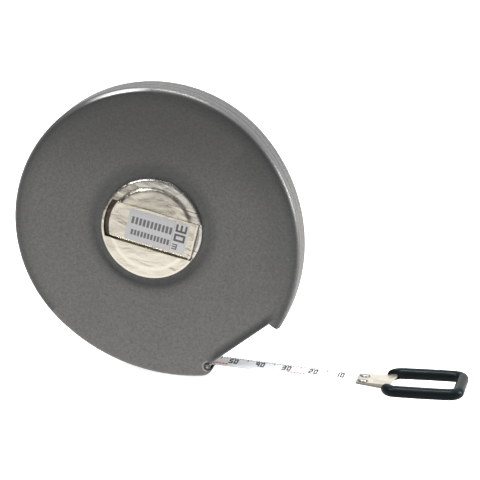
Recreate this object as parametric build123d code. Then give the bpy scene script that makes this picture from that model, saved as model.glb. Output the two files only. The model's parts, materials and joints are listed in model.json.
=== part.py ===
from build123d import *
import os
from math import atan2, cos, degrees, hypot, radians, sin, sqrt

# Closed-case steel tape, millimetres.
# Every piece is drawn in "reel coordinates": x along the tape as it leaves the case, y up,
# z along the reel's axis towards the crank. write() turns them so that z faces the row's -Y.

# ---- driving dimensions ----
SHEET = 0.8                 # pressed steel of the covers
HALF_DEPTH = 6.7            # half the case's thickness
CASE_R = 52.4               # round part of the case
RIGHT_FROM_DEG = 45.0       # where the flatter right-hand arc leaves the round part
RIGHT_SHIFT = 9.36          # how much bigger that arc's radius is
BOTTOM_FROM_DEG = 230.0     # where the flatter bottom arc leaves the round part
BOTTOM_SHIFT = 16.0
FRONT_EDGE_R = 2.3          # rounding between face and rim
BACK_EDGE_R = 1.9
STEP_DEPTH = 1.0            # step in the covers' inside corner
SEAM_Z = HALF_DEPTH - 0.68 * 2 * HALF_DEPTH
GROOVE_Z = HALF_DEPTH - 0.40 * 2 * HALF_DEPTH
LAP = 2.0                   # how far the back cover's lip reaches into the front cover
LIP_T = 0.55                # thickness of that lip
LIP_GAP = (10, 60, -60, -25)       # the lip stops short of the mouth: x0, x1, y0, y1
GROOVE_HALF_W, GROOVE_DEPTH = 0.15, 0.12
BEVEL_W, BEVEL_DEPTH = 0.18, 0.15  # bevel of the back cover's edge at the seam
FIT = 0.05                  # room round parts that are let into the covers
WASHER_T = 0.15
CLEAR = 20.0                # tools that cut right through reach this far past the middle

TAPE_W = 10.0
TAPE_T = 0.2
TAPE_Y = -50.25             # middle of the tape where it leaves the roller
TAPE_SAG = 0.75             # how much lower it is where it enters the end plate
TAPE_IN_PLATE = 4.6
BEND_REACH = 1.5            # the bend over the roller starts and ends this far from its middle
TAPE_OUT_X = 78.3           # where the end plate starts
COIL_R = 45.2
DRUM_R = 15.0
DRUM_BORE_R = 12.7
ANCHOR_DEG = 200.0

NOSE = (20.1, -50.3)        # centre of the nose's rounding
ROLLER = (22.8, -51.55)     # centre of the mouth roller
ROLLER_R = 1.15
ROLLER_PIN_R = 0.55
BAY, BAY_R = (23.3, -50.8), 1.7    # round openings in both faces beside the roller
ARM_REACH, ARM_RISE = 6.4, 1.1      # the bracket's arms, back from the roller
CHEEK_T, CHEEK_Z = 0.45, 5.6         # thickness and outer face of its cheeks
CHEEK_R = 1.25              # rounded cheeks of the roller's bracket
BRACKET_WEB_T = 0.5
SLOT_BELOW, SLOT_ABOVE = 0.95, 0.62    # the mouth's slot, from the middle of the tape
GUIDE_R, GUIDE_HALF_L = 0.72, 5.6
GUIDE_FROM_LIP = 0.55
CUT_FOOT = (24.0, -49.72)   # a point on the notch's straight edge, beside the nose
CUT_HEAD = (45.3, -31.75)    # its upper end, at the hook
HOOK_DIR = (0.841, -0.541)
HOOK_BLUNT = 0.75           # how far the hook's tip is cut back

DISH_R = 20.3               # floor of the dish round the winding disc
DISH_EDGE_R = 23.2
DISH_DEPTH = 0.5
DISH_EASE = 0.9             # width of the eased ends of the dish's slope
NECK_R = 13.4
BEARING_R = 14.6
DISC_R = 18.8
DISC_Z = HALF_DEPTH - DISH_DEPTH + 0.15
FLANGE_Z = HALF_DEPTH + 1.15
PLATEAU_Z = FLANGE_Z + 0.5

ARM_DEG = -11.0             # direction of the arm's hinge end
ARM_HALF_W = 6.65
ARM_LOW = HALF_DEPTH + 0.3
ARM_TOP = ARM_LOW + 0.8
ARM_TIP_R = 15.9
NAIL_GAP_R = 17.8
HINGE_U, HINGE_Z = 16.0, ARM_LOW + 0.35
HINGE_PIN_R = 0.4
HINGE_PIN_HALF_L = 8.3
BARREL_R = 0.8
ARM_EASE_R = 0.18
SIDE_GAP, FAR_GAP = 0.85, 0.3      # gaps along the arm's two sides
SLOT_END_U = HINGE_U + 1.0
KNOB_SLOT = (9.2, 8.4)
LABEL_AT, LABEL_SIZE, LABEL_T = (2.4, -0.25), (23.0, 11.7), 0.08
KNOB_U = -7.2
KNOB_R = 3.6
KNOB_PIN_R = 1.25
KNOB_LOW, KNOB_WAIST_Z = -0.35, 3.0
KNOB_PIN_HEAD_R, KNOB_PIN_HEAD_Z0, KNOB_PIN_HEAD_Z1 = 2.2, -0.95, -0.4

DRUM_FLOOR_Z0, DRUM_FLOOR_Z1 = -3.0, -2.0
ANCHOR_R, ANCHOR_HEAD_R = 0.9, 1.6
ANCHOR_HEAD_AT = (11.9, 12.6)      # radii between which the anchor rivet's head lies
SPINDLE_R = 2.5
SPINDLE_HEAD_R, SPINDLE_HEAD_T = 4.5, 0.8
SPINDLE_END_Z = -5.0
SPINDLE_SCREW_R = 1.25
SCREW_IN_SPINDLE = (-2.5, -2.4)    # end of the screw and of its hole
END_WASHER_R, END_WASHER_BORE_R, END_WASHER_T = 5.6, 1.3, 0.4
SPRING_R, SPRING_T = 4.8, 0.16
SCREW_HEAD_R, SCREW_HEAD_T = 2.6, 0.9
BUSH_R, BUSH_FLANGE_R, BUSH_FLANGE_T = 4.0, 5.5, 0.6
BUSH_OUT = 0.2              # the bush stands this far out of its cover
RUNNING = 0.04              # radial clearance of running fits
RECESS_R = 8.5              # recess in the back cover for the spindle screw
RECESS_Z = -4.6

POST_RADIUS, POST_R = 48.4, 1.75
POST_DEGS = (25.0, 120.0, 215.0)
SCREW_R = 0.9
SCREW_END_Z, SCREW_HOLE_Z = -1.5, -1.0
SCREW_SLOT_W, SCREW_SLOT_DEPTH = 0.45, 0.35

PLATE_T = 0.7
PLATE_Y = TAPE_Y - TAPE_SAG        # middle of the end plate's thickness
RIVET_X = TAPE_OUT_X + 2.3
RIVET_ZS = (-2.75, 2.75)
RIVET_R = 0.8
RIVET_HEAD_R, RIVET_HEAD_T, RIVET_ROUND_R = 1.35, 0.5, 0.42
RIVET_FOOT_R, RIVET_FOOT_T = 1.3, 0.25
PLATE_HALF_W = 5.35
PLATE_END_HALF_W = 7.2
TONGUE_L, TONGUE_CORNER_R = 6.0, 0.8
SCOOP_DEPTH = 0.9
SCOOP_R = 18.5              # the plate's hollow edge towards the loop's opening
OPENING_X = 92.0
LOOP_X0, LOOP_X1 = 90.1, 116.3     # centre lines of the end loop's cross bars
# the loop's bowed sides, as (x beyond LOOP_X0, half width)
LOOP_SIDE = ((0.0, 9.75), (5.0, 10.2), (13.0, 10.4), (21.0, 10.3), (LOOP_X1 - LOOP_X0, 10.0))
LOOP_PITCH = 3.5            # degrees by which the loop is bent up from the plate
LOOP_CORNER_R = 3.4
GRIP_START_Z = 6.2
GRIP_END_Z = 8.0            # where the vinyl stops beside the plate
GRIP_R = 2.15
CORE_W = 2.2

# ---- derived places ----
RIGHT_C = (-RIGHT_SHIFT * cos(radians(RIGHT_FROM_DEG)), -RIGHT_SHIFT * sin(radians(RIGHT_FROM_DEG)))
RIGHT_R = CASE_R + RIGHT_SHIFT
BOTTOM_C = (-BOTTOM_SHIFT * cos(radians(BOTTOM_FROM_DEG)), -BOTTOM_SHIFT * sin(radians(BOTTOM_FROM_DEG)))
BOTTOM_R = CASE_R + BOTTOM_SHIFT
NOSE_R = BOTTOM_R - hypot(NOSE[0] - BOTTOM_C[0], NOSE[1] - BOTTOM_C[1])
CUT_DEG = degrees(atan2(CUT_HEAD[1] - CUT_FOOT[1], CUT_HEAD[0] - CUT_FOOT[0]))
INNER_Z = HALF_DEPTH - SHEET


def polar(radius, deg, centre=(0.0, 0.0)):
    return (centre[0] + radius * cos(radians(deg)), centre[1] + radius * sin(radians(deg)))


def angle_of(point, centre):
    return degrees(atan2(point[1] - centre[1], point[0] - centre[0]))


def cylinder(radius, z0, z1, at=(0.0, 0.0)):
    return Pos(at[0], at[1], z0) * extrude(Circle(radius), z1 - z0)


def ring(outer, inner, z0, z1, at=(0.0, 0.0)):
    return cylinder(outer, z0, z1, at) - cylinder(inner, z0 - 1, z1 + 1, at)


def block(x0, x1, y0, y1, z0, z1):
    size = (x1 - x0, y1 - y0, z1 - z0)
    return Pos((x0 + x1) / 2, (y0 + y1) / 2, (z0 + z1) / 2) * Box(*size)


def turned(points):
    """A solid of revolution about the reel's axis, from (radius, z) points."""
    profile = make_face(Polyline(*[(r, 0, z) for r, z in points], close=True))
    return revolve(profile, Axis.Z)


def on_arm(shape):
    """Turns a shape drawn with the arm along +x into the arm's direction."""
    return Rot(0, 0, ARM_DEG) * shape


# ---- case ----
def line_circle(point, direction, centre, radius):
    """Where a line first leaves a circle, going along direction."""
    px, py = point[0] - centre[0], point[1] - centre[1]
    along = px * direction[0] + py * direction[1]
    reach = sqrt(along ** 2 - px ** 2 - py ** 2 + radius ** 2)
    step = reach - along
    return (point[0] + step * direction[0], point[1] + step * direction[1])


def case_outline(inset=0.0, with_nose=True):
    """Plan of the case, each side moved in by inset; the nose can be left off."""
    cut_dir = (cos(radians(CUT_DEG)), sin(radians(CUT_DEG)))
    hook_len = hypot(*HOOK_DIR)
    hook_dir = (HOOK_DIR[0] / hook_len, HOOK_DIR[1] / hook_len)
    foot = (CUT_FOOT[0] - inset * cut_dir[1], CUT_FOOT[1] + inset * cut_dir[0])
    hook_at = (CUT_HEAD[0] + inset * -hook_dir[1], CUT_HEAD[1] + inset * hook_dir[0])
    # the corner where the cut line meets the hook's line
    det = cut_dir[0] * -hook_dir[1] + cut_dir[1] * hook_dir[0]
    dx, dy = hook_at[0] - foot[0], hook_at[1] - foot[1]
    step = (dx * -hook_dir[1] + dy * hook_dir[0]) / det
    corner = (foot[0] + step * cut_dir[0], foot[1] + step * cut_dir[1])
    tip = line_circle(corner, hook_dir, RIGHT_C, RIGHT_R - inset)
    tip_deg = angle_of(tip, RIGHT_C) + degrees(HOOK_BLUNT / RIGHT_R)
    blunt = (tip[0] - HOOK_BLUNT * hook_dir[0], tip[1] - HOOK_BLUNT * hook_dir[1])
    nose_from = angle_of(NOSE, BOTTOM_C)
    if with_nose:
        lip = line_circle(foot, cut_dir, NOSE, NOSE_R - inset)
        nose = CenterArc(NOSE, NOSE_R - inset, nose_from, angle_of(lip, NOSE) - nose_from)
    else:
        lip = foot
        nose = Line(polar(BOTTOM_R - inset, nose_from, BOTTOM_C), foot)
    curves = [
        CenterArc(RIGHT_C, RIGHT_R - inset, tip_deg, RIGHT_FROM_DEG - tip_deg),
        CenterArc((0, 0), CASE_R - inset, RIGHT_FROM_DEG, BOTTOM_FROM_DEG - RIGHT_FROM_DEG),
        CenterArc(BOTTOM_C, BOTTOM_R - inset, BOTTOM_FROM_DEG, 360 + nose_from - BOTTOM_FROM_DEG),
        nose,
        Line(lip, corner),
        Line(corner, blunt),
        Line(blunt, polar(RIGHT_R - inset, tip_deg, RIGHT_C)),
    ]
    return make_face(Wire(curves))


def case_block(inset, z0, z1, with_nose=True):
    return Pos(0, 0, z0) * extrude(case_outline(inset, with_nose), z1 - z0)


def round_rim(solid, at_top, radius):
    """Rounds the face's edge along the case's outer arcs, not along the notch."""
    face = solid.faces().sort_by(Axis.Z)[-1 if at_top else 0]
    return fillet(face.edges().filter_by(GeomType.CIRCLE), radius)


def hollow(z_open, z_face):
    """Inside of one cover, stepped so that the sheet stays thick under the rounded rim."""
    step = STEP_DEPTH if z_face > 0 else -STEP_DEPTH
    wide = case_block(SHEET, min(z_open, z_face - step), max(z_open, z_face - step))
    narrow = case_block(2 * SHEET, min(z_open, z_face), max(z_open, z_face), with_nose=False)
    return wide + narrow


def guide_place():
    """Middle of the notch wall's lower end, above the tape."""
    lip = line_circle(CUT_FOOT, (cos(radians(CUT_DEG)), sin(radians(CUT_DEG))), NOSE, NOSE_R)
    return polar(SHEET / 2, CUT_DEG + 90, polar(GUIDE_FROM_LIP, CUT_DEG, lip))


def mouth_cuts():
    """Slot for the tape, room for the roller's bracket, seat of the guide bar, and the bays in the faces."""
    x, y = ROLLER
    slot = block(x - 1, NOSE[0] + NOSE_R + 1, TAPE_Y - SLOT_BELOW, TAPE_Y + SLOT_ABOVE, -INNER_Z, INNER_Z)
    room = cylinder(CHEEK_R + FIT, -INNER_Z, INNER_Z, ROLLER)
    arms = block(x - ARM_REACH - FIT, x, y - ARM_RISE - FIT, y + ARM_RISE + FIT, -INNER_Z, INNER_Z)
    seat = cylinder(GUIDE_R, -GUIDE_HALF_L, GUIDE_HALF_L, guide_place())
    bay = cylinder(BAY_R, -HALF_DEPTH - 1, HALF_DEPTH + 1, BAY)
    return slot + room + arms + seat + bay


def post_places():
    return [polar(POST_RADIUS, deg) for deg in POST_DEGS]


def front_cover():
    outer = round_rim(case_block(0, SEAM_Z, HALF_DEPTH), True, FRONT_EDGE_R)
    inner = hollow(SEAM_Z - 1, INNER_Z)
    pad = turned([(0, INNER_Z + 0.1), (0, INNER_Z - DISH_DEPTH), (DISH_R, INNER_Z - DISH_DEPTH),
                  (DISH_EDGE_R, INNER_Z), (DISH_EDGE_R, INNER_Z + 0.1)])
    dish = turned([(0, HALF_DEPTH + 1), (0, HALF_DEPTH - DISH_DEPTH), (DISH_R, HALF_DEPTH - DISH_DEPTH),
                   (DISH_R + DISH_EASE, HALF_DEPTH - 0.8 * DISH_DEPTH),
                   (DISH_EDGE_R - DISH_EASE, HALF_DEPTH - 0.2 * DISH_DEPTH),
                   (DISH_EDGE_R, HALF_DEPTH), (DISH_EDGE_R, HALF_DEPTH + 1)])
    groove = case_block(-1, GROOVE_Z - GROOVE_HALF_W, GROOVE_Z + GROOVE_HALF_W)
    groove = groove - case_block(GROOVE_DEPTH, GROOVE_Z - 1, GROOVE_Z + 1)
    cover = outer - inner + pad - dish - cylinder(BEARING_R, 0, CLEAR)
    return cover - groove - mouth_cuts()


def back_cover():
    outer = round_rim(case_block(0, -HALF_DEPTH, SEAM_Z), False, BACK_EDGE_R)
    inner = hollow(SEAM_Z + 1, -INNER_Z)
    lip = case_block(SHEET + FIT, SEAM_Z, SEAM_Z + LAP, False)
    root = case_block(SHEET - FIT, SEAM_Z - LAP, SEAM_Z, False)
    lip = lip + root - case_block(SHEET + FIT + LIP_T, -CLEAR, CLEAR, False) - block(*LIP_GAP, -CLEAR, CLEAR)
    bevel = case_block(-1, SEAM_Z - BEVEL_W, SEAM_Z) - case_block(BEVEL_DEPTH, SEAM_Z - 1, SEAM_Z + 1)
    cover = outer - inner - bevel + lip
    cup = cylinder(RECESS_R + SHEET, -INNER_Z, RECESS_Z + SHEET)
    cover = cover + cup - cylinder(RECESS_R, -HALF_DEPTH - 1, RECESS_Z)
    cover = cover - cylinder(BUSH_R, -CLEAR, 0)
    for place in post_places():
        head = Pos(place[0], place[1], -HALF_DEPTH + SHEET / 2) * Cone(2 * SCREW_R, SCREW_R, SHEET)
        cover = cover - head
    return cover - mouth_cuts()


def case_posts():
    posts = []
    for place in post_places():
        post = cylinder(POST_R, -INNER_Z, INNER_Z, place) - cylinder(SCREW_R, -INNER_Z - 1, SCREW_HOLE_Z, place)
        posts.append(post)
    return Compound(posts)


def case_screws():
    screws = []
    for deg, place in zip(POST_DEGS, post_places()):
        head = Pos(place[0], place[1], -HALF_DEPTH + SHEET / 2) * Cone(2 * SCREW_R, SCREW_R, SHEET)
        screw = head + cylinder(SCREW_R, -INNER_Z, SCREW_END_Z, place)
        slot = Box(5 * SCREW_R, SCREW_SLOT_W, 2 * SCREW_SLOT_DEPTH)
        slot = Pos(place[0], place[1], -HALF_DEPTH) * Rot(0, 0, 2.5 * deg) * slot
        screws.append(screw - slot)
    return Compound(screws)


def mouth_bracket():
    """Two cheeks that carry the roller's pin, joined by a web behind the roller."""
    x, y = ROLLER
    arm = Pos(x - ARM_REACH / 2, y) * Rectangle(ARM_REACH, 2 * ARM_RISE)
    cheek = extrude(Pos(x, y) * Circle(CHEEK_R) + arm, CHEEK_T)
    bracket = block(x - ARM_REACH, x - ARM_REACH + BRACKET_WEB_T, y - ARM_RISE, y + ARM_RISE, -CHEEK_Z, CHEEK_Z)
    for z0 in (-CHEEK_Z, CHEEK_Z - CHEEK_T):
        bracket = bracket + Pos(0, 0, z0) * cheek
    return bracket - cylinder(ROLLER_PIN_R, -CLEAR, CLEAR, ROLLER)


def roller_pin():
    pin = cylinder(ROLLER_PIN_R, -CHEEK_Z - 0.02, CHEEK_Z + 0.02, ROLLER)
    return chamfer(pin.edges().filter_by(GeomType.CIRCLE), 0.1)


def mouth_roller():
    half = CHEEK_Z - CHEEK_T - 0.09
    tube = ring(ROLLER_R, ROLLER_PIN_R + RUNNING, -half, half, ROLLER)
    ends = [e for e in tube.edges().filter_by(GeomType.CIRCLE) if e.radius > 1.0]
    return fillet(ends, 0.15)


def tape_guide():
    """Plated bar let into the lower edge of the notch wall."""
    return cylinder(GUIDE_R, -GUIDE_HALF_L, GUIDE_HALF_L, guide_place())


def front_bearing():
    return ring(BEARING_R, NECK_R + RUNNING, HALF_DEPTH - DISH_DEPTH - SHEET, HALF_DEPTH - DISH_DEPTH)


def back_bush():
    flange = cylinder(BUSH_FLANGE_R, RECESS_Z + SHEET, RECESS_Z + SHEET + BUSH_FLANGE_T)
    body = cylinder(BUSH_R, RECESS_Z - BUSH_OUT, RECESS_Z + SHEET)
    return flange + body - cylinder(SPINDLE_R + RUNNING, -CLEAR, 0)


def front_slip_washer():
    top = INNER_Z - DISH_DEPTH
    return ring(DISH_R - 0.4, BEARING_R + 0.1, top - WASHER_T, top)


def back_slip_washer():
    return ring(DISH_R, RECESS_R + SHEET + 0.4, -INNER_Z, -TAPE_W / 2 - 0.1)


# ---- drum ----
def spoke(radius, r0, r1):
    """A radial cylinder through the drum's wall, where the tape's inner end is riveted."""
    return Rot(0, 0, ANCHOR_DEG) * Pos((r0 + r1) / 2, 0, 0) * Rot(0, 90, 0) * Cylinder(radius, r1 - r0)


def anchor_rivet():
    return spoke(ANCHOR_R, ANCHOR_HEAD_AT[0], DRUM_R - FIT) + spoke(ANCHOR_HEAD_R, *ANCHOR_HEAD_AT)


def drum_core():
    half = TAPE_W / 2
    wall = ring(DRUM_R, DRUM_BORE_R, -half, half)
    neck = ring(NECK_R, DRUM_BORE_R, half, DISC_Z)
    floor = ring(DRUM_BORE_R, SPINDLE_R, DRUM_FLOOR_Z0, DRUM_FLOOR_Z1)
    core = wall + neck + floor
    return core - spoke(ANCHOR_R, DRUM_BORE_R - 0.5, DRUM_R + 0.5) - spoke(ANCHOR_HEAD_R, *ANCHOR_HEAD_AT)


def spindle():
    head = cylinder(SPINDLE_HEAD_R, DRUM_FLOOR_Z1, DRUM_FLOOR_Z1 + SPINDLE_HEAD_T)
    head = chamfer(head.edges().filter_by(GeomType.CIRCLE).sort_by(Axis.Z)[-1:], 0.3)
    shank = cylinder(SPINDLE_R, SPINDLE_END_Z, DRUM_FLOOR_Z1)
    return head + shank - cylinder(SPINDLE_SCREW_R, SPINDLE_END_Z - 1, SCREW_IN_SPINDLE[1])


def spring_washer():
    low = SPINDLE_END_Z + 0.02
    return ring(SPRING_R, SPINDLE_R + 0.1, low, low + SPRING_T)


def spindle_washer():
    washer = ring(END_WASHER_R, END_WASHER_BORE_R, SPINDLE_END_Z - END_WASHER_T, SPINDLE_END_Z)
    rim = [e for e in washer.edges().filter_by(GeomType.CIRCLE) if e.radius > END_WASHER_BORE_R + 1]
    return chamfer(rim, 0.1)


def spindle_screw():
    seat = SPINDLE_END_Z - END_WASHER_T
    head = cylinder(SCREW_HEAD_R, seat - SCREW_HEAD_T, seat)
    head = fillet(head.edges().filter_by(GeomType.CIRCLE).sort_by(Axis.Z)[:1], 0.3)
    screw = head + cylinder(SPINDLE_SCREW_R, seat, SCREW_IN_SPINDLE[0])
    return screw - Pos(0, 0, seat - SCREW_HEAD_T) * Rot(0, 0, 25) * Box(3 * SCREW_HEAD_R, 0.65, 0.9)


def tape_coil():
    return ring(COIL_R, DRUM_R, -TAPE_W / 2, TAPE_W / 2)


def disc_blank():
    """Turned body of the winding disc: flange, soft shoulder, raised centre, spigot."""
    shoulder = [(15.9, FLANGE_Z), (15.55, FLANGE_Z + 0.04), (15.2, FLANGE_Z + 0.16),
                (14.8, PLATEAU_Z - 0.14), (14.45, PLATEAU_Z - 0.03), (14.1, PLATEAU_Z)]
    outline = [(0, DISC_Z), (DRUM_BORE_R - 1.5, DISC_Z), (DRUM_BORE_R - 1.5, DISC_Z - 0.95),
               (DRUM_BORE_R, DISC_Z - 0.95), (DRUM_BORE_R, DISC_Z), (DISC_R - 0.3, DISC_Z),
               (DISC_R, DISC_Z + 0.3), (DISC_R, FLANGE_Z - 0.55), (DISC_R - 0.16, FLANGE_Z - 0.2),
               (DISC_R - 0.55, FLANGE_Z - 0.03), (DISC_R - 0.95, FLANGE_Z + 0.03)]
    return turned(outline + shoulder + [(0, PLATEAU_Z)])


def winding_disc():
    gap_low, gap_high = -ARM_HALF_W - SIDE_GAP, ARM_HALF_W + FAR_GAP
    recess = block(-30, SLOT_END_U, gap_low, gap_high, ARM_LOW - 0.1, CLEAR) & cylinder(NAIL_GAP_R, 0, CLEAR)
    nail_gap = block(-30, -13, gap_low, gap_high, ARM_LOW - 0.35, CLEAR) & cylinder(NAIL_GAP_R, 0, CLEAR)
    window = block(HINGE_U - 1.0, SLOT_END_U, gap_low, gap_high, 0, CLEAR)
    notch = block(SLOT_END_U - 0.01, 25, -ARM_HALF_W - 0.2, ARM_HALF_W + 0.2, HALF_DEPTH, CLEAR)
    knob_hole = extrude(Pos(KNOB_U - 0.5, 0) * SlotOverall(*KNOB_SLOT), CLEAR)
    cuts = recess + nail_gap + window + notch + knob_hole
    return disc_blank() - on_arm(cuts) - hinge_pin()


def hinge_pin():
    return on_arm(Pos(HINGE_U, 0, HINGE_Z) * Rot(90, 0, 0) * Cylinder(HINGE_PIN_R, 2 * HINGE_PIN_HALF_L))


# ---- crank ----
def crank_arm():
    plan = Pos((HINGE_U - 30) / 2, 0) * Rectangle(HINGE_U + 30, 2 * ARM_HALF_W) & Circle(30)
    bar = extrude(plan, ARM_TOP - ARM_LOW)
    bar = Pos(0, 0, ARM_LOW) * bar & (cylinder(ARM_TIP_R, 0, CLEAR) + block(0, 30, -20, 20, 0, CLEAR))
    top = bar.faces().sort_by(Axis.Z)[-1]
    bar = fillet(top.edges().filter_by(lambda e: e.center().X < HINGE_U - 0.5), ARM_EASE_R)
    barrel = Pos(HINGE_U, 0, HINGE_Z) * Rot(90, 0, 0) * Cylinder(BARREL_R, 2 * ARM_HALF_W)
    bore = Pos(HINGE_U, 0, HINGE_Z) * Rot(90, 0, 0) * Cylinder(HINGE_PIN_R + RUNNING, 30)
    return on_arm(bar + barrel - bore - cylinder(KNOB_PIN_R, 0, CLEAR, (KNOB_U, 0)))


def label_plate():
    plate = Pos(*LABEL_AT, ARM_TOP) * extrude(RectangleRounded(*LABEL_SIZE, 0.4), LABEL_T)
    return on_arm(plate)


def knob_pin():
    shank = cylinder(KNOB_PIN_R, KNOB_PIN_HEAD_Z1, ARM_TOP, (KNOB_U, 0))
    head = cylinder(KNOB_PIN_HEAD_R, KNOB_PIN_HEAD_Z0, KNOB_PIN_HEAD_Z1, (KNOB_U, 0))
    head = fillet(head.edges().filter_by(GeomType.CIRCLE).sort_by(Axis.Z)[:1], 0.25)
    return on_arm(shank + head)


def crank_knob():
    """Small turned knob with a waist, free on its pin."""
    low, high = KNOB_LOW, ARM_LOW - 0.1
    outline = [(KNOB_PIN_R + RUNNING, low), (KNOB_R - 0.5, low), (KNOB_R - 0.1, low + 0.25),
               (KNOB_R, low + 0.7), (KNOB_R - 0.15, low + 1.4), (KNOB_R - 0.45, KNOB_WAIST_Z), (KNOB_R - 0.6, high - 1.6),
               (KNOB_R - 0.5, high - 0.5), (KNOB_R - 0.7, high), (KNOB_PIN_R + RUNNING, high)]
    return on_arm(Pos(KNOB_U, 0, 0) * turned(outline))


# ---- tape and its end ----
def tape_blade():
    """From the coil, over the roller, to the end plate."""
    distance = hypot(ROLLER[0], TAPE_Y)
    run_r = COIL_R + TAPE_T / 2 + 0.02
    leave = angle_of((ROLLER[0], TAPE_Y), (0, 0)) - degrees(atan2(sqrt(distance ** 2 - run_r ** 2), run_r))
    start = polar(run_r, leave)
    bend = (ROLLER[0], TAPE_Y)
    slope = degrees(atan2(bend[1] - start[1], bend[0] - start[0]))
    before = polar(-BEND_REACH, slope, bend)
    after = (bend[0] + BEND_REACH, bend[1])
    middle = [start, before, after, (TAPE_OUT_X, PLATE_Y), (TAPE_OUT_X + TAPE_IN_PLATE, PLATE_Y)]
    low = [(x, y - TAPE_T / 2) for x, y in middle]
    high = [(x, y + TAPE_T / 2) for x, y in reversed(middle)]
    blade = extrude(make_face(Polyline(*low, *high, close=True)), TAPE_W / 2, both=True)
    return blade - rivet_holes()


def across(radius, y0, y1, x, z):
    """An upright cylinder in reel coordinates, along y."""
    return Pos(x, (y0 + y1) / 2, z) * Rot(90, 0, 0) * Cylinder(radius, y1 - y0)


def rivet_holes():
    return [across(RIVET_R, PLATE_Y - 5, PLATE_Y + 5, RIVET_X, z) for z in RIVET_ZS]


def end_rivets():
    top, bottom = PLATE_Y + PLATE_T / 2, PLATE_Y - PLATE_T / 2
    rivets = []
    for z in RIVET_ZS:
        head = across(RIVET_HEAD_R, top, top + RIVET_HEAD_T, RIVET_X, z)
        head = fillet(head.edges().filter_by(GeomType.CIRCLE).sort_by(Axis.Y)[-1:], RIVET_ROUND_R)
        foot = across(RIVET_FOOT_R, bottom - RIVET_FOOT_T, bottom, RIVET_X, z)
        rivets.append(across(RIVET_R, bottom, top, RIVET_X, z) + head + foot)
    return Compound(rivets)


def flat_piece(plan, y0, thickness):
    """Extrudes a plan drawn in (x, z) upwards from height y0."""
    return Pos(0, y0, 0) * Rot(90, 0, 0) * Pos(0, 0, -thickness) * extrude(plan, thickness)


def bent_up(shape):
    """Bends the loop up from the plate, about the line where the flare meets it."""
    hinge_x = LOOP_X0 - CORE_W / 2
    return Pos(hinge_x, PLATE_Y, 0) * Rot(0, 0, LOOP_PITCH) * Pos(-hinge_x, -PLATE_Y, 0) * shape


def loop_plan(grow):
    """Plan of the loop in (x, z), its centre line moved out by grow."""
    far = [(LOOP_X0 + x, z) for x, z in LOOP_SIDE]
    near = [(x, -z) for x, z in reversed(far)]
    return offset(make_face(FilletPolyline(*far, *near, radius=LOOP_CORNER_R, close=True)), grow)


def end_plate():
    """Tongue round the tape's end, flaring straight into the loop's core."""
    half = CORE_W / 2
    tongue = Pos(TAPE_OUT_X + TONGUE_L / 2, 0) * RectangleRounded(TONGUE_L, 2 * PLATE_HALF_W, TONGUE_CORNER_R)
    left = [(TAPE_OUT_X + 1, PLATE_HALF_W), (LOOP_X0 - half + 0.3, PLATE_END_HALF_W)]
    flare = make_face(Polyline(*left, *[(x, -z) for x, z in reversed(left)], close=True))
    web = Pos((LOOP_X0 - half + OPENING_X) / 2, 0) * Rectangle(OPENING_X - LOOP_X0 + half, 2 * PLATE_END_HALF_W)
    scoop = Pos(OPENING_X - SCOOP_DEPTH + SCOOP_R, 0) * Circle(SCOOP_R)
    hollow_edge = scoop & Pos(OPENING_X, 0) * Rectangle(2 * (OPENING_X - LOOP_X0), 2 * GRIP_START_Z)
    flat = flat_piece(tongue + flare, PLATE_Y - PLATE_T / 2, PLATE_T)
    core = flat_piece(loop_plan(half) - loop_plan(-half) + web - hollow_edge, PLATE_Y - PLATE_T / 2, PLATE_T)
    socket = block(TAPE_OUT_X - 1, TAPE_OUT_X + TAPE_IN_PLATE, PLATE_Y - TAPE_T / 2, PLATE_Y + TAPE_T / 2,
                   -TAPE_W / 2, TAPE_W / 2)
    return flat + bent_up(core) - socket - rivet_holes()


def ring_grip():
    """Vinyl dipped over the loop, open where the plate enters."""
    far = [(LOOP_X0 + x, z) for x, z in LOOP_SIDE]
    near = [(x, -z) for x, z in reversed(far)]
    pts = [(LOOP_X0, GRIP_START_Z), *far, *near, (LOOP_X0, -GRIP_START_Z)]
    path = FilletPolyline(*[(x, PLATE_Y, z) for x, z in pts], radius=LOOP_CORNER_R)
    section = Plane(origin=path @ 0, z_dir=path % 0) * Circle(GRIP_R)
    stop = block(LOOP_X0 - 4, LOOP_X0 + 4, PLATE_Y - 4, PLATE_Y + 4, -GRIP_END_Z, GRIP_END_Z)
    return bent_up(sweep(section, path=path) - stop) - end_plate()


PIECES = {
    "front_cover": front_cover,
    "back_cover": back_cover,
    "case_posts": case_posts,
    "case_screws": case_screws,
    "mouth_bracket": mouth_bracket,
    "roller_pin": roller_pin,
    "tape_guide": tape_guide,
    "front_bearing": front_bearing,
    "back_bush": back_bush,
    "front_slip_washer": front_slip_washer,
    "back_slip_washer": back_slip_washer,
    "mouth_roller": mouth_roller,
    "drum_core": drum_core,
    "anchor_rivet": anchor_rivet,
    "spindle": spindle,
    "spring_washer": spring_washer,
    "spindle_washer": spindle_washer,
    "spindle_screw": spindle_screw,
    "tape_coil": tape_coil,
    "winding_disc": winding_disc,
    "hinge_pin": hinge_pin,
    "crank_arm": crank_arm,
    "label_plate": label_plate,
    "knob_pin": knob_pin,
    "crank_knob": crank_knob,
    "tape_blade": tape_blade,
    "end_plate": end_plate,
    "end_rivets": end_rivets,
    "ring_grip": ring_grip,
}

os.makedirs("parts", exist_ok=True)
for name, make in PIECES.items():
    export_step(Rot(90, 0, 0) * make(), f"parts/{name}.step")
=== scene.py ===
import json
import math

import bmesh
import bpy
from mathutils import Matrix, Vector

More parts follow.
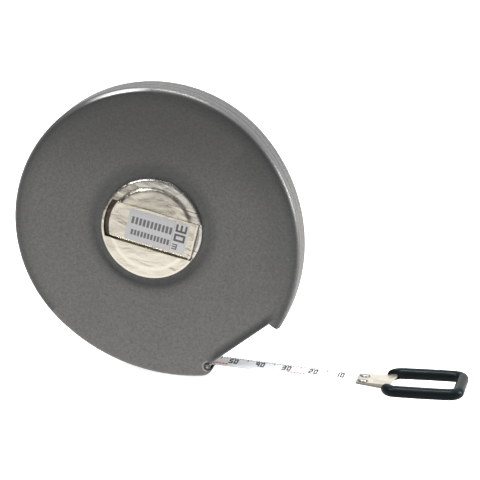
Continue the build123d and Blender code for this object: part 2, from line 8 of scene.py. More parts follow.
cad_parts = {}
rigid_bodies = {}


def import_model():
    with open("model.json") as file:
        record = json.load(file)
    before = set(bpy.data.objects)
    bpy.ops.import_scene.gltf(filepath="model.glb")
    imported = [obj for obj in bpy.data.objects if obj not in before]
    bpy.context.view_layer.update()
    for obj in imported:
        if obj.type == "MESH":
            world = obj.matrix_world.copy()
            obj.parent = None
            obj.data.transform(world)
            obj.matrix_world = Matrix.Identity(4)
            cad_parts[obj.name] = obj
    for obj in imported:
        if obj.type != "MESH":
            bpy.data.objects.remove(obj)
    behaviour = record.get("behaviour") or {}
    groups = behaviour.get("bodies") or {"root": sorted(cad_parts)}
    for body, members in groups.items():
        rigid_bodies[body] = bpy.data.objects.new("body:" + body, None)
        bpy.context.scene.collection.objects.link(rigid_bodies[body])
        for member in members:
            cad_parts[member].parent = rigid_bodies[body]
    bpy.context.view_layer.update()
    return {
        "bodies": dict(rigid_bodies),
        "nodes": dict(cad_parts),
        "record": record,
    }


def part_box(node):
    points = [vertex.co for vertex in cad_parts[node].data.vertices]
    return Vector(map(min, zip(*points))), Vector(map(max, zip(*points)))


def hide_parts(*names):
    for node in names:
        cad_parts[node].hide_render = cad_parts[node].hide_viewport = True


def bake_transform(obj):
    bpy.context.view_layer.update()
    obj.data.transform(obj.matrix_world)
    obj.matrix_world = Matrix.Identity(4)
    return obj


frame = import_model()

MM = 0.001
NODES = frame["nodes"]


# ---- shader helpers; coordinates are in millimetres ----
class Graph:
    """One material's or world's node tree, built through short calls that return sockets."""

    def __init__(self, name, world=False):
        if world:
            self.data = bpy.data.worlds.new(name)
        else:
            self.data = bpy.data.materials.new(name)
        self.data.use_nodes = True
        self.tree = self.data.node_tree
        self.tree.nodes.clear()
        if world:
            self.out = self.node("ShaderNodeOutputWorld")
            return
        self.out = self.node("ShaderNodeOutputMaterial")
        self.bsdf = self.node("ShaderNodeBsdfPrincipled")
        self.put(self.out.inputs["Surface"], self.bsdf.outputs[0])

    def node(self, kind, **props):
        made = self.tree.nodes.new(kind)
        for key, value in props.items():
            setattr(made, key, value)
        return made

    def put(self, socket, value):
        """Link a socket, or set a plain value; a colour gets its alpha."""
        if isinstance(value, bpy.types.NodeSocket):
            self.tree.links.new(value, socket)
        elif isinstance(value, (tuple, list)) and len(value) == 3 and socket.type == "RGBA":
            socket.default_value = (*value, 1.0)
        else:
            socket.default_value = value

    def set(self, name, value):
        self.put(self.bsdf.inputs[name], value)

    def math(self, op, a, b=0.0, c=0.0):
        made = self.node("ShaderNodeMath", operation=op)
        for socket, value in zip(made.inputs, (a, b, c)):
            self.put(socket, value)
        return made.outputs[0]

    def length(self, a, b):
        return self.math("SQRT", self.add(self.mul(a, a), self.mul(b, b)))

    def arm_axes(self, x, z):
        """Coordinates along the folded crank arm and across it."""
        along = self.add(self.mul(x, ARM[0]), self.mul(z, ARM[1]))
        across = self.add(self.mul(x, -ARM[1]), self.mul(z, ARM[0]))
        return along, across

    def add(self, a, b):
        return self.math("ADD", a, b)

    def sub(self, a, b):
        return self.math("SUBTRACT", a, b)

    def mul(self, a, b):
        return self.math("MULTIPLY", a, b)

    def place(self, body=None):
        """Position in millimetres, as a vector and as three numbers."""
        coord = self.node("ShaderNodeTexCoord")
        if body is not None:
            coord.object = frame["bodies"][body]
        scaled = self.node("ShaderNodeVectorMath", operation="SCALE")
        self.put(scaled.inputs[0], coord.outputs["Object"])
        self.put(scaled.inputs["Scale"], 1 / MM)
        parts = self.node("ShaderNodeSeparateXYZ")
        self.put(parts.inputs[0], scaled.outputs[0])
        return scaled.outputs[0], parts.outputs[0], parts.outputs[1], parts.outputs[2]

    def combine(self, x, y, z):
        made = self.node("ShaderNodeCombineXYZ")
        for socket, value in zip(made.inputs, (x, y, z)):
            self.put(socket, value)
        return made.outputs[0]

    def noise(self, vector, scale, detail, rough=0.55, distort=0.0):
        made = self.node("ShaderNodeTexNoise")
        for key, value in (("Vector", vector), ("Scale", scale), ("Detail", detail),
                           ("Roughness", rough), ("Distortion", distort)):
            self.put(made.inputs[key], value)
        return made.outputs["Fac"]

    def cells(self, vector, scale):
        """A random level in each cell."""
        made = self.node("ShaderNodeTexVoronoi")
        self.put(made.inputs["Vector"], vector)
        self.put(made.inputs["Scale"], scale)
        level = self.node("ShaderNodeSeparateColor")
        self.put(level.inputs[0], made.outputs["Color"])
        return level.outputs[0]

    def span(self, value, low, high, to_low=0.0, to_high=1.0, smooth=True):
        """to_low at low and to_high at high, clamped outside them; low may be above high."""
        made = self.node("ShaderNodeMapRange", clamp=True)
        made.interpolation_type = "SMOOTHSTEP" if smooth else "LINEAR"
        for socket, x in zip(made.inputs, (value, low, high, to_low, to_high)):
            self.put(socket, x)
        return made.outputs[0]

    def mix(self, factor, a, b):
        made = self.node("ShaderNodeMix", data_type="RGBA")
        self.put(made.inputs[0], factor)
        self.put(made.inputs[6], a)
        self.put(made.inputs[7], b)
        return made.outputs[2]

    def bump(self, height, distance_mm, strength=1.0):
        made = self.node("ShaderNodeBump")
        self.put(made.inputs["Height"], height)
        self.put(made.inputs["Distance"], distance_mm * MM)
        self.put(made.inputs["Strength"], strength)
        return made.outputs[0]

    def inside(self, value, centre, half, soft=0.02):
        """1 where value is within half of centre."""
        away = self.math("ABSOLUTE", self.sub(value, centre))
        return self.span(away, half - soft, half + soft, 1.0, 0.0, smooth=False)

    def both(self, *masks):
        """1 where every mask is 1."""
        total = masks[0]
        for mask in masks[1:]:
            total = self.math("MULTIPLY", total, mask)
        return total

    def either(self, *masks):
        """1 where any mask is 1."""
        total = masks[0]
        for mask in masks[1:]:
            total = self.math("MAXIMUM", total, mask)
        return total

    def choose(self, digit, digits_on):
        """1 when the digit, 0 to 9, is one of digits_on."""
        made = self.node("ShaderNodeValToRGB")
        made.color_ramp.interpolation = "CONSTANT"
        stops = made.color_ramp.elements
        for n in range(10):
            grey = 1.0 if n in digits_on else 0.0
            if n == 0:
                stops[0].position = 0.0
                stops[0].color = (grey, grey, grey, 1.0)
            elif n == 1:
                stops[1].position = 0.1
                stops[1].color = (grey, grey, grey, 1.0)
            else:
                stops.new(n / 10).color = (grey, grey, grey, 1.0)
        self.put(made.inputs[0], self.math("MULTIPLY_ADD", digit, 0.1, 0.05))
        return made.outputs[0]

    def numeral(self, digit, x, y, stroke):
        """A plain stroke numeral in the unit box, x across and y up."""
        half_w, half_h = stroke / 2, stroke / 3
        # each bar: the digits that have it, its centre x and y, its half width and half height
        bars = (("023456789", 0.5, 1 - half_h, 0.5, half_h),
                ("02356789", 0.5, half_h, 0.5, half_h),
                ("2345689", 0.5, 0.5, 0.5, half_h),
                ("01234789", 1 - half_w, 0.75, half_w, 0.25),
                ("013456789", 1 - half_w, 0.25, half_w, 0.25),
                ("045689", half_w, 0.75, half_w, 0.25),
                ("0268", half_w, 0.25, half_w, 0.25))
        drawn = []
        for digits, cx, cy, hx, hy in bars:
            box = self.both(self.inside(x, cx, hx), self.inside(y, cy, hy))
            drawn.append(self.both(box, self.choose(digit, [int(d) for d in digits])))
        return self.either(*drawn)


def dress(name, graph):
    piece = NODES[name]
    piece.data.materials.clear()
    piece.data.materials.append(graph.data)


# ---- places taken from the frame ----
roller_low, roller_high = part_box("mouth_roller")
coil_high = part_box("tape_coil")[1]
plate_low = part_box("end_plate")[0]
disc_low, disc_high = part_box("winding_disc")
case_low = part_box("front_cover")[0]
rivets_low, rivets_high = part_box("end_rivets")
NOSE = (roller_low + roller_high) / 2
TAPE_T = 0.2 * MM
TAPE_HALF_W = coil_high.y
ROLLER_GAP = 0.05 * MM
TAPE_Z = roller_high.z + TAPE_T / 2 + ROLLER_GAP
PLATE_HALF_T = 0.35 * MM
PLATE_Z = plate_low.z + PLATE_HALF_T
OUT_X = plate_low.x
# the rest of these places are in millimetres
CASE_R = -case_low.x / MM
RIGHT_BACK = 6.6
RIGHT_EXTRA_R = 9.36
CUT_DEG = 40.1
CUT_FOOT = (24.0, -49.7)
BAY = (NOSE.x / MM + 0.5, NOSE.z / MM + 0.75)
BAY_R = 1.7
DISC_R = (disc_high.x - disc_low.x) / 2 / MM
FLANGE_Y = disc_low.y / MM + 0.5
NAIL_GAP_R = 17.9
RIVET_R = (rivets_high.x - rivets_low.x) / 2 / MM
RIVET_X = rivets_low.x / MM + RIVET_R
RIVET_Y = rivets_high.y / MM - RIVET_R
LABEL_AT = (2.4, -0.25)
ARM_DEG = -11.0
ARM = (math.cos(math.radians(ARM_DEG)), math.sin(math.radians(ARM_DEG)))


# ---- case paint ----
def paint():
    """Grey metallic paint: fine grain and light scuffs, painted shade towards the rim, along the cut edge,
    round the disc and at the top, and a painted glint on the bead.
    """
    g = Graph("case_paint")
    place, x, y, z = g.place()
    grain = g.span(g.noise(place, 0.75, 5.0, 0.75), 0.25, 0.75, smooth=False)
    flakes = g.cells(place, 2.2)
    cloud = g.noise(place, 0.06, 2.0, 0.5)
    grain_share, flake_share, cloud_share = 0.62, 0.38, 0.22
    level = g.add(g.mul(grain, grain_share), g.mul(flakes, flake_share))
    level = g.add(level, g.mul(g.sub(cloud, 0.5), cloud_share))
    # how far a point is from the outline; the right half is an arc about its own centre
    radius = g.length(x, z)
    right_radius = g.length(g.add(x, RIGHT_BACK), g.add(z, RIGHT_BACK))
    is_right = g.span(g.sub(x, z), -1.0, 1.0)
    from_edge = g.add(g.mul(g.sub(CASE_R, radius), g.sub(1.0, is_right)),
                      g.mul(g.sub(CASE_R + RIGHT_EXTRA_R, right_radius), is_right))
    # painted shade, darker towards the rim and round the disc
    strength = g.mul(g.span(x, -10.0, 30.0, 0.50, 0.95), g.span(z, -52.0, 20.0, 0.25, 1.0))
    rim = g.mul(g.span(from_edge, 0.6, 8.0, 1.0, 0.0), strength)
    thin = g.mul(g.span(from_edge, 1.2, 4.5, 1.0, 0.0), g.span(z, -50.0, -40.0, 0.0, 0.85))
    wide = g.mul(g.span(from_edge, 4.0, 20.0, 0.42, 0.0), g.mul(is_right, g.span(z, -35.0, 5.0)))
    hub = g.span(radius, DISC_R + 0.6, DISC_R + 8.0, 1.0, 0.0)
    front = g.span(y, -6.5, -5.8, 1.0, 0.0)
    dark = g.mul(g.either(rim, thin, wide, hub), front)
    # painted shade: a darker band along the notch's cut edge
    cut = math.radians(CUT_DEG)
    off_cut = g.add(g.mul(g.sub(x, CUT_FOOT[0]), -math.sin(cut)),
                    g.mul(g.sub(z, CUT_FOOT[1]), math.cos(cut)))
    beside_cut = g.inside(x, 35.0, 11.0, 2.0)
    notch = g.both(g.span(off_cut, 0.9, 4.2, 1.0, 0.0), g.span(off_cut, 0.2, 0.7), beside_cut)
    upper = g.mul(g.span(z, 8.0, 44.0), 0.42)
    grain_dark, grain_light = (0.112, 0.112, 0.109), (0.208, 0.207, 0.201)
    painted_edge_shade, cut_shade = (0.026, 0.033, 0.037), (0.022, 0.032, 0.034)
    top_shade, bead_glint = (0.030, 0.031, 0.031), (0.62, 0.62, 0.62)
    scuffed, lip_highlight = (0.30, 0.30, 0.29), (0.46, 0.47, 0.47)
    colour = g.mix(level, grain_dark, grain_light)
    colour = g.mix(g.mul(dark, 0.62), colour, painted_edge_shade)
    colour = g.mix(g.mul(g.mul(notch, front), 0.80), colour, cut_shade)
    colour = g.mix(upper, colour, top_shade)
    # a painted glint on the bead at the upper left, where the paint is also smoother
    on_bead = g.both(g.span(from_edge, 1.0, 1.6, 1.0, 0.0), g.span(y, -5.5, -5.9))
    bright = g.both(on_bead, g.inside(x, -14.5, 7.5, 4.5), g.span(z, 0.0, 10.0))
    colour = g.mix(g.mul(bright, 0.85), colour, bead_glint)
    scuffs = g.span(g.noise(place, 0.9, 6.0, 0.8, 0.4), 0.70, 0.76)
    colour = g.mix(g.mul(scuffs, 0.35), colour, scuffed)
    # a painted highlight on the left lip of the bay beside the roller
    bay_x, bay_z = g.sub(x, BAY[0]), g.sub(z, BAY[1])
    on_lip = g.span(g.length(bay_x, bay_z), BAY_R + 0.2, BAY_R + 0.7, 1.0, 0.0)
    lip = g.mul(on_lip, g.span(bay_x, 0.3, -0.7))
    colour = g.mix(g.mul(lip, 0.6), colour, lip_highlight)
    g.set("Base Color", colour)
    g.set("Metallic", 0.55)
    g.set("Roughness", g.sub(g.span(level, 0.2, 0.8, 0.50, 0.38), g.mul(bright, 0.12)))
    g.set("Coat Weight", 0.25)
    g.set("Coat Roughness", 0.22)
    grain_mm = 0.035
    g.set("Normal", g.bump(level, grain_mm, 0.6))
    return g


def nickel(name="nickel", rough=0.22, recess=False):
    """Worn nickel plate with stains and fine scratches; recess adds the winding disc's dome, painted shade in
    its slot and on its top edge, a painted dark reflection in its groove and a painted highlight on its
    flange.
    """
    g = Graph(name)
    place, x, y, z = g.place()
    along, across = g.arm_axes(x, z)
    stretch = 0.45
    drawn_out = g.combine(g.mul(along, stretch), y, across)
    stain = g.noise(place, 0.30, 4.0, 0.6, 0.5)
    fine = g.noise(place, 2.2, 5.0, 0.7)
    wave = g.noise(drawn_out, 0.22, 2.0, 0.45, 1.1)
    blotch = g.span(g.noise(drawn_out, 0.20, 5.0, 0.65, 0.8), 0.50, 0.70)
    lines = g.noise(g.combine(g.mul(x, 0.6), g.mul(y, 0.6), g.mul(z, 7.0)), 1.0, 4.0, 0.7)
    scratch = g.span(lines, 0.66, 0.72)
    stained, plated = (0.80, 0.74, 0.62), (0.93, 0.89, 0.79)
    tarnished, scratched = (0.46, 0.42, 0.34), (0.45, 0.42, 0.36)
    colour = g.mix(stain, stained, plated)
    colour = g.mix(g.mul(blotch, 0.38), colour, tarnished)
    colour = g.mix(g.mul(scratch, 0.25), colour, scratched)
    dome = 0.0
    if recess:
        dome_r, shoulder_r = 260.0, 14.85
        square = g.add(g.mul(x, x), g.mul(z, z))
        radius = g.math("SQRT", square)
        dome = g.mul(square, -1.0 / (2 * dome_r))
        # painted shade in the sunken slot, darkest at the nail gap at the arm's free end
        sunk = g.span(y, FLANGE_Y + 0.30, FLANGE_Y + 0.55)
        deep = g.mul(sunk, g.span(radius, NAIL_GAP_R - 0.05, NAIL_GAP_R, 1.0, 0.0))
        deep = g.mul(deep, g.span(along, -14.5, -9.0, 0.93, 0.55))
        # a painted dark reflection in the shoulder groove across the top
        shoulder = g.mul(g.inside(radius, shoulder_r, 0.45, 0.45), g.span(z, -3.0, 7.0))
        # a painted highlight on the flange at the upper right
        flange_highlight = g.mul(g.span(radius, 15.9, 16.6), g.span(g.add(x, z), 2.0, 16.0))
        # painted shade on the disc's top edge
        upper_edge = g.both(g.span(radius, DISC_R - 0.8, DISC_R - 0.3), g.span(z, -4.0, 8.0))
        highlight_white, groove_dark_reflection = (1.0, 0.99, 0.98), (0.17, 0.17, 0.165)
        painted_edge_shade, slot_shade = (0.26, 0.25, 0.23), (0.050, 0.032, 0.028)
        colour = g.mix(g.mul(flange_highlight, 0.55), colour, highlight_white)
        colour = g.mix(g.mul(shoulder, 0.62), colour, groove_dark_reflection)
        colour = g.mix(g.mul(upper_edge, 0.7), colour, painted_edge_shade)
        colour = g.mix(deep, colour, slot_shade)
    g.set("Base Color", colour)
    g.set("Metallic", 1.0)
    g.set("Roughness", g.add(g.span(stain, 0.3, 0.7, rough - 0.04, rough + 0.10), g.mul(fine, 0.05)))
    fine_mm, wave_mm = 0.03, 0.42
    height = g.add(g.add(g.mul(fine, fine_mm), g.mul(wave, wave_mm)), dome)
    g.set("Normal", g.bump(height, 1.0))
    return g


def plate_nickel():
    """The end plate's nickel: painted shade along its edges and a painted shadow round each of the two
    rivets.
    """
    g = nickel("plate_nickel", rough=0.34)
    _, x, y, _ = g.place()
    plated = g.bsdf.inputs["Base Color"].links[0].from_socket
    dulled, plate_edge_shade, rivet_shadow = (0.30, 0.28, 0.24), (0.06, 0.055, 0.045), (0.03, 0.025, 0.02)
    # a painted shadow round each rivet
    from_rivet = g.length(g.sub(x, RIVET_X), g.sub(g.math("ABSOLUTE", y), RIVET_Y))
    off_ring = g.math("ABSOLUTE", g.sub(from_rivet, RIVET_R + 0.25))
    ring = g.span(off_ring, 0.15, 0.55, 1.0, 0.0)
    # painted shade along the near edge and the plate's start
    lower = g.span(g.add(y, TAPE_HALF_W / MM), 0.35, 0.9, 1.0, 0.0)
    start = g.span(g.sub(x, OUT_X / MM), 0.3, 0.8, 1.0, 0.0)
    edges = g.either(g.mul(lower, 0.8), g.mul(start, 0.5))
    colour = g.mix(0.14, plated, dulled)
    colour = g.mix(g.mul(edges, 0.9), colour, plate_edge_shade)
    g.set("Base Color", g.mix(g.mul(ring, 0.88), colour, rivet_shadow))
    return g


def metal(name, dark, light, rough):
    """Turned or drawn metal with fine tool marks and a little tarnish."""
    g = Graph(name)
    place, x, y, z = g.place()
    rings = g.combine(g.mul(g.length(x, z), 6.0), y, 0.0)
    marks = g.noise(rings, 2.0, 3.0, 0.6)
    tarnish = g.noise(place, 0.45, 5.0, 0.6, 0.4)
    level = g.add(g.mul(marks, 0.5), g.mul(tarnish, 0.5))
    g.set("Base Color", g.mix(level, dark, light))
    g.set("Metallic", 1.0)
    g.set("Roughness", g.span(tarnish, 0.3, 0.7, rough, rough + 0.18))
    g.set("Normal", g.bump(marks, 0.01, 0.5))
    return g


def fibre():
    """Pressed fibre washers with short strands."""
    g = Graph("fibre")
    _, x, y, z = g.place()
    strands = g.noise(g.combine(g.mul(x, 0.7), y, g.mul(z, 4.0)), 1.2, 5.0, 0.7)
    g.set("Base Color", g.mix(strands, (0.20, 0.075, 0.035), (0.42, 0.20, 0.10)))
    g.set("Roughness", g.span(strands, 0.2, 0.8, 0.75, 0.55))
    g.set("Normal", g.bump(strands, 0.03, 0.6))
    return g


def wound_tape():
    """Edges of the wound turns: a fine spiral of light lacquer and dark gaps."""
    g = Graph("wound_tape")
    place, x, _, z = g.place()
    pitch = 0.19
    turn = g.mul(g.math("ARCTAN2", z, x), pitch / (2 * math.pi))
    phase = g.math("FRACT", g.math("DIVIDE", g.add(g.length(x, z), turn), pitch))
    gap = g.span(g.math("ABSOLUTE", g.sub(phase, 0.5)), 0.32, 0.48)
    grime = g.noise(place, 0.5, 4.0, 0.6)
    lacquer, gap_shade, grime_tint = (0.62, 0.62, 0.60), (0.12, 0.12, 0.12), (0.30, 0.28, 0.25)
    colour = g.mix(gap, lacquer, gap_shade)
    g.set("Base Color", g.mix(g.mul(grime, 0.35), colour, grime_tint))
    g.set("Metallic", 0.3)
    g.set("Roughness", g.span(grime, 0.3, 0.7, 0.35, 0.5))
    g.set("Normal", g.bump(gap, 0.03, 0.5))
    return g


def vinyl():
    """Black dipped vinyl: a faint orange-peel surface and a little dust."""
    g = Graph("vinyl")
    place = g.place()[0]
    peel = g.noise(place, 0.9, 3.0, 0.5)
    dust = g.span(g.noise(place, 4.0, 5.0, 0.75), 0.62, 0.75)
    colour = g.mix(peel, (0.005, 0.008, 0.009), (0.009, 0.012, 0.013))
    g.set("Base Color", g.mix(g.mul(dust, 0.15), colour, (0.07, 0.08, 0.08)))
    g.set("Roughness", g.span(peel, 0.3, 0.7, 0.17, 0.24))
    g.set("Specular IOR Level", 0.10)
    g.set("Specular Tint", (0.75, 0.88, 0.90))
    g.set("Normal", g.bump(peel, 0.12, 0.5))
    return g


def foil():
    """Satin foil label: two rows of plain bars, and an end panel with the tape's length, 30 m."""
    g = Graph("foil_label")
    place, x, _, z = g.place()
    along, across = g.arm_axes(x, z)
    u, v = g.sub(along, LABEL_AT[0]), g.sub(across, LABEL_AT[1])
    stipple = g.noise(place, 3.2, 3.0, 0.7)
    worn = g.noise(place, 0.5, 4.0, 0.6)
    panel_u = 5.85
    in_panel = g.span(u, panel_u - 0.10, panel_u + 0.20)
    foil_dark, foil_light = (0.46, 0.46, 0.47), (0.80, 0.80, 0.81)
    panel_dark, panel_light = (0.42, 0.42, 0.42), (0.92, 0.92, 0.92)
    violet_black = (0.035, 0.032, 0.038)
    colour = g.mix(stipple, foil_dark, foil_light)
    panel = g.mix(stipple, panel_dark, panel_light)
    colour = g.mix(in_panel, colour, panel)
    ink = []
    # rows of uneven bars, each given as its middle, half height, left end, right end and spacing
    rows = ((1.75, 1.35, -10.6, 5.3, 1.45), (-2.75, 1.05, -9.9, 5.5, 1.26))
    for row, half, low, high, pitch in rows:
        cell = g.math("DIVIDE", g.sub(u, low), pitch)
        within = g.math("FRACT", cell)
        wobble = g.noise(g.combine(g.math("FLOOR", cell), row, 0.0), 1.7, 0.0)
        body = g.span(within, g.span(wobble, 0.3, 0.7, 0.16, 0.34), 0.42, 0.0, 1.0)
        in_row = g.both(g.inside(v, row, half), g.inside(u, (low + high) / 2, (high - low) / 2))
        ink.append(g.mul(g.both(in_row, body), 0.9))
    # the length, turned a quarter so that it reads along the arm's width
    digit_w, digit_h, digit_foot, digit_stroke = 2.9, 4.2, 6.5, 0.28
    reading = g.mul(v, -1.0)
    for number, centre_v in ((3.0, 3.55), (0.0, -0.05)):
        px = g.math("DIVIDE", g.sub(reading, -centre_v - digit_w / 2), digit_w)
        py = g.math("DIVIDE", g.sub(u, digit_foot), digit_h)
        ink.append(g.numeral(number, px, py, digit_stroke))
    letter_start, letter_top, letter_half_w, leg_half = 2.55, 8.3, 1.05, 0.2
    m_x = g.sub(reading, letter_start)
    leg_places = (leg_half, letter_half_w, 2 * letter_half_w - leg_half)
    legs = g.either(*[g.inside(m_x, leg_x, leg_half) for leg_x in leg_places])
    letter = g.both(legs, g.inside(u, letter_top - 0.9, 0.9))
    bar = g.both(g.inside(m_x, letter_half_w, letter_half_w), g.inside(u, letter_top - 0.1, leg_half))
    ink.append(g.either(letter, bar))
    rule = g.both(g.inside(u, panel_u, 0.12), g.inside(v, 0.0, 5.0))
    ink.append(g.mul(rule, 0.35))
    marks = g.either(*ink)
    colour = g.mix(g.mul(marks, 0.9), colour, violet_black)
    g.set("Base Color", colour)
    g.set("Metallic", g.span(marks, 0.0, 1.0, 0.55, 0.0))
    g.set("Roughness", g.span(worn, 0.3, 0.7, 0.42, 0.55))
    g.set("Normal", g.bump(stipple, 0.02, 0.5))
    return g


def tape_face():
    """White lacquered tape: millimetre ticks, a number at each centimetre, red check marks."""
    g = Graph("tape_lacquer")
    place, x, y, _ = g.place("tape_end")
    u = g.sub(OUT_X / MM, x)
    wear = g.noise(place, 0.8, 4.0, 0.6)
    tint = g.noise(place, 0.12, 2.0, 0.5)
    # a grey line along the near edge
    near_edge = -TAPE_HALF_W / MM
    edge_line = g.mul(g.span(y, near_edge + 0.35, near_edge + 0.10), 0.6)
    cool_white, warm_white = (0.80, 0.83, 0.85), (0.84, 0.86, 0.87)
    worn_white, thin_grey_line = (0.40, 0.41, 0.40), (0.22, 0.23, 0.23)
    black_ink, red_ink = (0.008, 0.010, 0.016), (0.80, 0.05, 0.10)
    colour = g.mix(tint, cool_white, warm_white)
    colour = g.mix(g.mul(g.span(wear, 0.58, 0.8), 0.2), colour, worn_white)
    colour = g.mix(edge_line, colour, thin_grey_line)
    # distance from the nearest millimetre, half centimetre and centimetre line
    first_line = 6.8
    per_cm = 0.1
    shifted = g.sub(u, first_line)
    mm_off = g.math("ABSOLUTE", g.sub(g.math("FRACT", g.add(shifted, 0.5)), 0.5))
    five = g.sub(g.math("FRACT", g.math("MULTIPLY_ADD", shifted, per_cm, 0.0)), 0.5)
    ten = g.sub(g.math("FRACT", g.math("MULTIPLY_ADD", shifted, per_cm, 0.5)), 0.5)
    five_off = g.mul(g.math("ABSOLUTE", five), 10.0)
    ten_off = g.mul(g.math("ABSOLUTE", ten), 10.0)
    # ticks along the far edge; the centimetre number takes the place of the longest one
    small = g.both(g.span(mm_off, 0.13, 0.18, 1.0, 0.0), g.span(y, 3.45, 3.5))
    middle = g.both(g.span(five_off, 0.16, 0.21, 1.0, 0.0), g.span(y, 2.3, 2.4))
    tall = g.both(g.span(ten_off, 0.16, 0.21, 1.0, 0.0), g.span(y, 3.1, 3.2))
    # numbers, upright for a reader at the near edge
    number = g.add(g.math("ROUND", g.mul(shifted, per_cm)), 1.0)
    hundreds = g.math("FLOOR", g.mul(number, 0.1))
    tens = g.sub(number, g.mul(hundreds, 10.0))
    local = g.mul(ten, -10.0)
    digit_w, digit_h, digit_foot, digit_stroke = 1.45, 4.9, -1.5, 0.34
    tall_y = g.math("DIVIDE", g.sub(y, digit_foot), digit_h)
    drawn = []
    for digit, digit_start in ((tens, -1.65), (0.0, 0.2), (hundreds, -3.5)):
        px = g.math("DIVIDE", g.sub(local, digit_start), digit_w)
        drawn.append(g.numeral(digit, px, tall_y, digit_stroke))
    drawn[-1] = g.both(drawn[-1], g.span(hundreds, 0.5, 0.6))
    past_zero = g.span(number, 0.5, 0.6)
    ink = g.both(g.either(small, middle, tall, *drawn), past_zero)
    colour = g.mix(g.mul(ink, 0.97), colour, black_ink)
    # red check marks, plain dashes
    group_start, group_pitch, dash_pitch = 19.2, 29.1, 1.15
    group = g.math("DIVIDE", g.sub(u, group_start), group_pitch)
    along = g.math("MULTIPLY", g.math("FRACT", group), group_pitch)
    dash = g.math("FRACT", g.math("DIVIDE", along, dash_pitch))
    in_group = g.span(along, 6.9, 7.0, 1.0, 0.0)
    red = g.both(in_group, g.inside(dash, 0.5, 0.36), g.inside(y, -2.6, 0.75))
    colour = g.mix(g.mul(red, 0.9), colour, red_ink)
    g.set("Base Color", colour)
    g.set("Metallic", 0.0)
    g.set("Roughness", g.span(wear, 0.3, 0.7, 0.45, 0.55))
    g.set("Specular IOR Level", g.span(ink, 0.0, 1.0, 0.30, 0.0))
    g.set("Normal", g.bump(wear, 0.015, 0.4))
    return g


STEEL = metal("steel", (0.36, 0.36, 0.36), (0.62, 0.62, 0.61), 0.28)
TAPE = tape_face()
BY_SLOT = {
    "case_paint": paint(),
    "nickel": nickel(),
    "steel": STEEL,
    "dark_steel": metal("dark_steel", (0.10, 0.10, 0.10), (0.26, 0.26, 0.26), 0.30),
    "brass": metal("brass", (0.48, 0.33, 0.12), (0.80, 0.61, 0.30), 0.25),
    "fibre": fibre(),
    "tape_lacquer": wound_tape(),
    "foil_label": foil(),
    "vinyl": vinyl(),
}
BY_NODE = {
    "winding_disc": nickel("disc_nickel", recess=True),
    "end_plate": plate_nickel(),
    "end_rivets": STEEL,
}
for part in frame["record"]["subparts"]:
    dress(part["node"], BY_NODE.get(part["node"], BY_SLOT[part["material_slot"]]))


# ---- the tape as one ribbon, from the coil over the roller to the end plate ----
def tape_path():
    """(x, z) stations in metres, from the coil over a soft bend on the roller into the end plate's socket."""
    coil_gap, reach, step = 0.02 * MM, 1.2 * MM, 0.5 * MM
    straight_steps, bend_steps = 24, 8
    socket_stations = (2.2 * MM, 4.55 * MM)
    run_r = coil_high.x + TAPE_T / 2 + coil_gap
    bend = Vector((NOSE.x, TAPE_Z))
    towards = math.atan2(bend.y, bend.x)
    leave = towards - math.acos(run_r / bend.length)
    start = Vector((run_r * math.cos(leave), run_r * math.sin(leave)))
    slope = (bend - start).normalized()
    before = bend - slope * reach
    after = bend + Vector((reach, 0))
    into_plate = Vector((OUT_X, PLATE_Z))
    stations = []
    for i in range(straight_steps):
        stations.append(start.lerp(before, i / straight_steps))
    for i in range(bend_steps + 1):
        t = i / bend_steps
        stations.append(before * (1 - t) ** 2 + bend * 2 * t * (1 - t) + after * t ** 2)
    count = int((OUT_X - after.x) / step)
    for i in range(1, count + 1):
        stations.append(after.lerp(into_plate, i / count))
    for depth in socket_stations:
        stations.append(into_plate + Vector((depth, 0)))
    return stations


def ribbon():
    """The blade as a closed strip with thin edges, swept along tape_path()."""
    mesh = bpy.data.meshes.new("tape_ribbon")
    bm = bmesh.new()
    stations = tape_path()
    half_w, half_t, edge = TAPE_HALF_W, TAPE_T / 2, 0.08 * MM
    section = [(-half_w, 0), (-half_w + edge, half_t), (half_w - edge, half_t),
               (half_w, 0), (half_w - edge, -half_t), (-half_w + edge, -half_t)]
    rings = []
    for i, here in enumerate(stations):
        ahead = stations[min(i + 1, len(stations) - 1)] - stations[max(i - 1, 0)]
        ahead.normalize()
        up = Vector((-ahead.y, ahead.x))
        ring = []
        for across, lift in section:
            ring.append(bm.verts.new((here.x + up.x * lift, across, here.y + up.y * lift)))
        rings.append(ring)
    for a, b in zip(rings, rings[1:]):
        for k in range(len(section)):
            n = (k + 1) % len(section)
            bm.faces.new((a[k], b[k], b[n], a[n]))
    bm.faces.new(rings[0])
    bm.faces.new(list(reversed(rings[-1])))
    bmesh.ops.recalc_face_normals(bm, faces=bm.faces)
    bm.to_mesh(mesh)
    bm.free()
    made = bpy.data.objects.new("tape_ribbon", mesh)
    bpy.context.scene.collection.objects.link(made)
    made.data.materials.append(TAPE.data)
    return made


tape = ribbon()
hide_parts("tape_blade")
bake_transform(tape)


# ---- floor, light, camera ----
def stage_material():
    """White paper: plain to the camera, and a soft falloff away from the object in reflections."""
    g = Graph("paper")
    place, _, y, _ = g.place()
    fleck = g.noise(place, 0.05, 4.0, 0.6)
    path = g.node("ShaderNodeLightPath")
    far_y, near_y, far_glow, near_glow = -420.0, -30.0, 0.40, 1.10
    away = g.span(y, far_y, near_y, far_glow, near_glow, smooth=False)
    g.set("Base Color", g.mix(fleck, (0.90, 0.90, 0.90), (0.94, 0.94, 0.94)))
    g.set("Roughness", 0.9)
    g.set("Specular IOR Level", 0.1)
    g.set("Emission Color", (1.0, 1.0, 1.0))
    glow = g.node("ShaderNodeEmission")
    g.put(glow.inputs["Color"], (1.0, 0.985, 0.96))
    g.put(glow.inputs["Strength"], away)
    g.set("Emission Strength", 0.80)
    shown = g.node("ShaderNodeMixShader")
    g.put(shown.inputs[0], path.outputs["Is Camera Ray"])
    g.put(shown.inputs[1], glow.outputs[0])
    g.put(shown.inputs[2], g.bsdf.outputs[0])
    g.put(g.out.inputs["Surface"], shown.outputs[0])
    return g


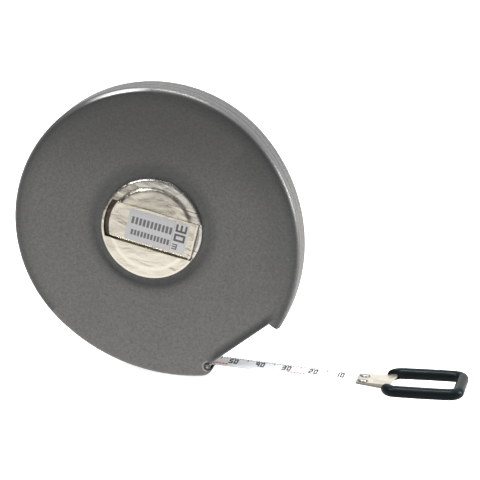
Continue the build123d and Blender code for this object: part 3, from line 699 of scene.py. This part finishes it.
def floor():
    """A plain sheet just under the object."""
    half_size, clearance = 6.0, 0.0001
    mesh = bpy.data.meshes.new("floor")
    bm = bmesh.new()
    bmesh.ops.create_grid(bm, x_segments=8, y_segments=8, size=half_size)
    bm.to_mesh(mesh)
    bm.free()
    made = bpy.data.objects.new("floor", mesh)
    made.location = (0, 0, case_low.z - clearance)
    bpy.context.scene.collection.objects.link(made)
    made.data.materials.append(stage_material().data)


def sky():
    """Bright above and behind, dark in front above the camera, dim at the left."""
    g = Graph("sky", world=True)
    coord = g.node("ShaderNodeTexCoord")
    parts = g.node("ShaderNodeSeparateXYZ")
    g.put(parts.inputs[0], coord.outputs["Generated"])
    dx, dy, dz = parts.outputs
    front = g.span(dy, 0.10, -0.45)
    high = g.span(dz, 0.55, 0.88)
    left = g.span(dx, -0.15, -0.75)
    low = g.sub(1.0, high)
    front_dimming, left_dimming, high_boost = 0.86, 0.65, 0.7
    level = g.sub(1.0, g.mul(g.mul(front, low), front_dimming))
    level = g.mul(level, g.sub(1.0, g.mul(g.mul(left, low), left_dimming)))
    level = g.add(level, g.mul(high, high_boost))
    path = g.node("ShaderNodeLightPath")
    strength = g.node("ShaderNodeMix")
    g.put(strength.inputs[0], path.outputs["Is Camera Ray"])
    g.put(strength.inputs[2], level)
    seen_level = 1.05
    g.put(strength.inputs[3], seen_level)
    back = g.node("ShaderNodeBackground")
    g.put(back.inputs["Color"], (1.0, 1.0, 1.0))
    g.put(back.inputs["Strength"], strength.outputs[0])
    g.put(g.out.inputs["Surface"], back.outputs[0])
    bpy.context.scene.world = g.data


def area(name, place, width, watts, height=None):
    """A soft rectangular light aimed at the middle of the case."""
    data = bpy.data.lights.new(name, "AREA")
    data.shape = "RECTANGLE"
    data.size, data.size_y = width, height or width
    data.energy = watts
    made = bpy.data.objects.new(name, data)
    made.location = place
    made.rotation_mode = "QUATERNION"
    made.rotation_quaternion = (-Vector(place)).to_track_quat("-Z", "Y")
    bpy.context.scene.collection.objects.link(made)


floor()
sky()
area("key", (-0.55, -0.60, 0.75), 0.40, 5.0)
area("top", (0.00, -0.14, 0.80), 0.40, 5.0, height=0.14)
area("right", (0.85, 0.15, 0.22), 0.30, 4.6)


def camera():
    """A long lens, a little above the object and to its right, with a slight roll."""
    azimuth, elevation, roll = math.radians(10.93), math.radians(16.65), math.radians(2.90)
    target, distance = Vector((31.70, 0, -2.92)) * MM, 0.9
    lens_mm, sensor_mm = 184.8, 36.0
    back = Vector((math.sin(azimuth) * math.cos(elevation), -math.cos(azimuth) * math.cos(elevation),
                   math.sin(elevation)))
    right = Vector((math.cos(azimuth), math.sin(azimuth), 0))
    up = back.cross(right)
    cam_x = right * math.cos(roll) + up * math.sin(roll)
    cam_y = up * math.cos(roll) - right * math.sin(roll)
    data = bpy.data.cameras.new("camera")
    data.lens, data.sensor_width = lens_mm, sensor_mm
    data.clip_start, data.clip_end = 0.05, 50.0
    made = bpy.data.objects.new("camera", data)
    place = target + back * distance
    made.matrix_world = Matrix((cam_x, cam_y, back)).transposed().to_4x4()
    made.location = place
    bpy.context.scene.collection.objects.link(made)
    bpy.context.scene.camera = made


camera()
bpy.context.scene.view_settings.view_transform = "Standard"
